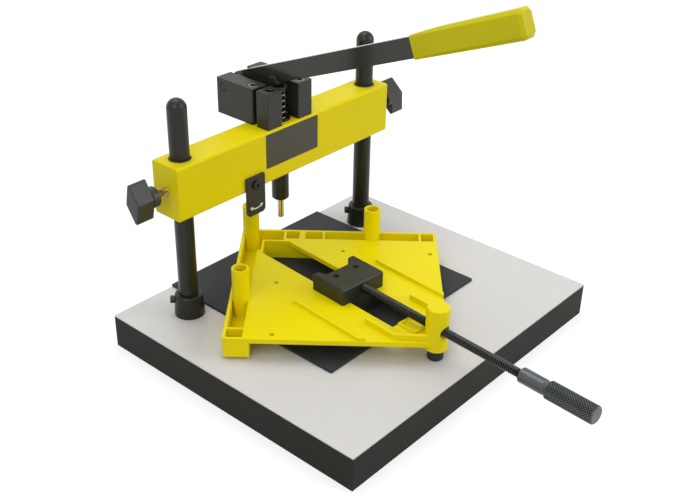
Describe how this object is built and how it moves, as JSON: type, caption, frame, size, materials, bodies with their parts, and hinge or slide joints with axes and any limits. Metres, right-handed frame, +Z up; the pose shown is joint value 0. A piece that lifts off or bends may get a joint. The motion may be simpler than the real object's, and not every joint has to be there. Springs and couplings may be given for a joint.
{
  "type": "picture frame underpinner",
  "caption": "Bench press that drives V-nails into mitred picture-frame corners, with a lever over a beam on posts and a corner tray with a screw clamp.",
  "frame": {"origin": "centre of the base board's underside, on the bench", "axes": "+X to the operator's right along the beam, +Y to the back, +Z up; the operator stands at -Y and pulls the lever down"},
  "size_m": [0.34, 0.4173, 0.3367],
  "materials": {
    "base_edge": "black painted fibreboard edges and underside",
    "base_laminate": "light warm grey laminate, satin",
    "base_mat": "charcoal rubber sheet, matt",
    "post_black": "gloss black coating on round steel bar",
    "black_steel": "blackened steel, satin",
    "zinc_fasteners": "zinc-plated fasteners",
    "beam_yellow": "bright yellow powder coat, satin",
    "black_plastic": "black moulded plastic",
    "label_dark": "bare dark grey plate",
    "press_head_black": "satin black coating on machined steel",
    "spring_steel": "bright plated spring wire",
    "stud_brass": "yellow passivated thread",
    "lever_black": "satin black coating on flat steel bar",
    "grip_vinyl": "yellow-green dipped vinyl, glossy",
    "driver_steel": "bright ground steel",
    "tray_yellow": "bright yellow moulded plastic",
    "rubber_black": "black rubber foot",
    "clamp_black": "satin black coating on machined steel",
    "screw_black": "blackened steel thread",
    "handle_dark": "dark grey coating over diamond knurling"
  },
  "bodies": {
    "base": {"base_board": "base_edge", "base_laminate": "base_laminate", "base_mat": "base_mat", "left_post": "post_black", "right_post": "post_black", "left_post_collar": "black_steel", "right_post_collar": "black_steel", "collar_screws": "black_steel", "post_bolts": "zinc_fasteners", "post_washers": "zinc_fasteners"},
    "beam": {"beam": "beam_yellow", "left_bush": "black_plastic", "right_bush": "black_plastic", "label_plate": "label_dark", "lever_yoke": "press_head_black", "left_guide_block": "press_head_black", "right_guide_block": "press_head_black", "block_screws": "zinc_fasteners", "pivot_pin": "black_steel", "pivot_spacers": "black_steel", "plunger_guide": "black_steel", "return_spring": "spring_steel", "swing_screw": "zinc_fasteners", "swing_washer": "zinc_fasteners"},
    "left_stud": {"left_stud": "stud_brass"},
    "left_knob": {"left_knob": "black_plastic"},
    "right_stud": {"right_stud": "stud_brass"},
    "right_knob": {"right_knob": "black_plastic"},
    "lever": {"lever_bar": "lever_black", "lever_grip": "grip_vinyl", "press_pin": "black_steel"},
    "plunger": {"plunger_ram": "black_steel", "plunger_cap": "black_steel", "driver_tip": "driver_steel"},
    "swing_plate": {"swing_plate": "press_head_black"},
    "tray": {"tray": "tray_yellow", "boss_nut": "stud_brass", "tray_foot": "rubber_black"},
    "clamp": {"clamp_block": "clamp_black", "clamp_shoe": "clamp_black", "shoe_screws": "zinc_fasteners"},
    "screw": {"screw_rod": "screw_black", "screw_handle": "handle_dark"}
  },
  "joints": [
    {"name": "beam_height", "type": "slide", "parent": "base", "child": "beam", "axis": [0, 0, 1], "range_m": [-0.0075, 0.045]},
    {"name": "left_stud_travel", "type": "slide", "parent": "beam", "child": "left_stud", "axis": [1, 0, 0], "range_m": [-0.00125, 0]},
    {"name": "left_knob_turn", "type": "hinge", "parent": "left_stud", "child": "left_knob", "pos_m": [-0.16, 0.096, 0.1595], "axis": [1, 0, 0], "range_deg": [-360, 0]},
    {"name": "right_stud_travel", "type": "slide", "parent": "beam", "child": "right_stud", "axis": [-1, 0, 0], "range_m": [-0.00125, 0]},
    {"name": "right_knob_turn", "type": "hinge", "parent": "right_stud", "child": "right_knob", "pos_m": [0.16, 0.096, 0.1595], "axis": [-1, 0, 0], "range_deg": [-360, 0]},
    {"name": "lever_press", "type": "hinge", "parent": "beam", "child": "lever", "pos_m": [0, 0.138, 0.2105], "axis": [1, 0, 0], "range_deg": [0, 26.7]},
    {"name": "plunger_stroke", "type": "slide", "parent": "beam", "child": "plunger", "axis": [0, 0, -1], "range_m": [0, 0.0195], "stiffness_N_per_m": 2000, "springref_m": -0.015, "deforming": ["return_spring"]},
    {"name": "swing_plate_turn", "type": "hinge", "parent": "beam", "child": "swing_plate", "pos_m": [-0.049, 0.0783, 0.141], "axis": [0, 1, 0], "range_deg": [-90, 90]},
    {"name": "tray_lift", "type": "slide", "parent": "base", "child": "tray", "axis": [0, 0, 1], "range_m": [0, 0.0235]},
    {"name": "clamp_travel", "type": "slide", "parent": "tray", "child": "clamp", "axis": [0.0785, 0.9969, 0], "range_m": [-0.03, 0.05]},
    {"name": "clamp_screw", "type": "hinge", "parent": "clamp", "child": "screw", "pos_m": [-0.02302, -0.10813, 0.062], "axis": [0.0785, 0.9969, 0], "range_deg": [-5400, 9000]}
  ],
  "couplings": [
    {"joint": "left_knob_turn", "follows": "left_stud_travel", "rad_per_m": 5026.5},
    {"joint": "right_knob_turn", "follows": "right_stud_travel", "rad_per_m": 5026.5},
    {"joint": "plunger_stroke", "follows": "lever_press", "m_per_rad": 0.041621},
    {"joint": "clamp_screw", "follows": "clamp_travel", "rad_per_m": 3141.6}
  ]
}
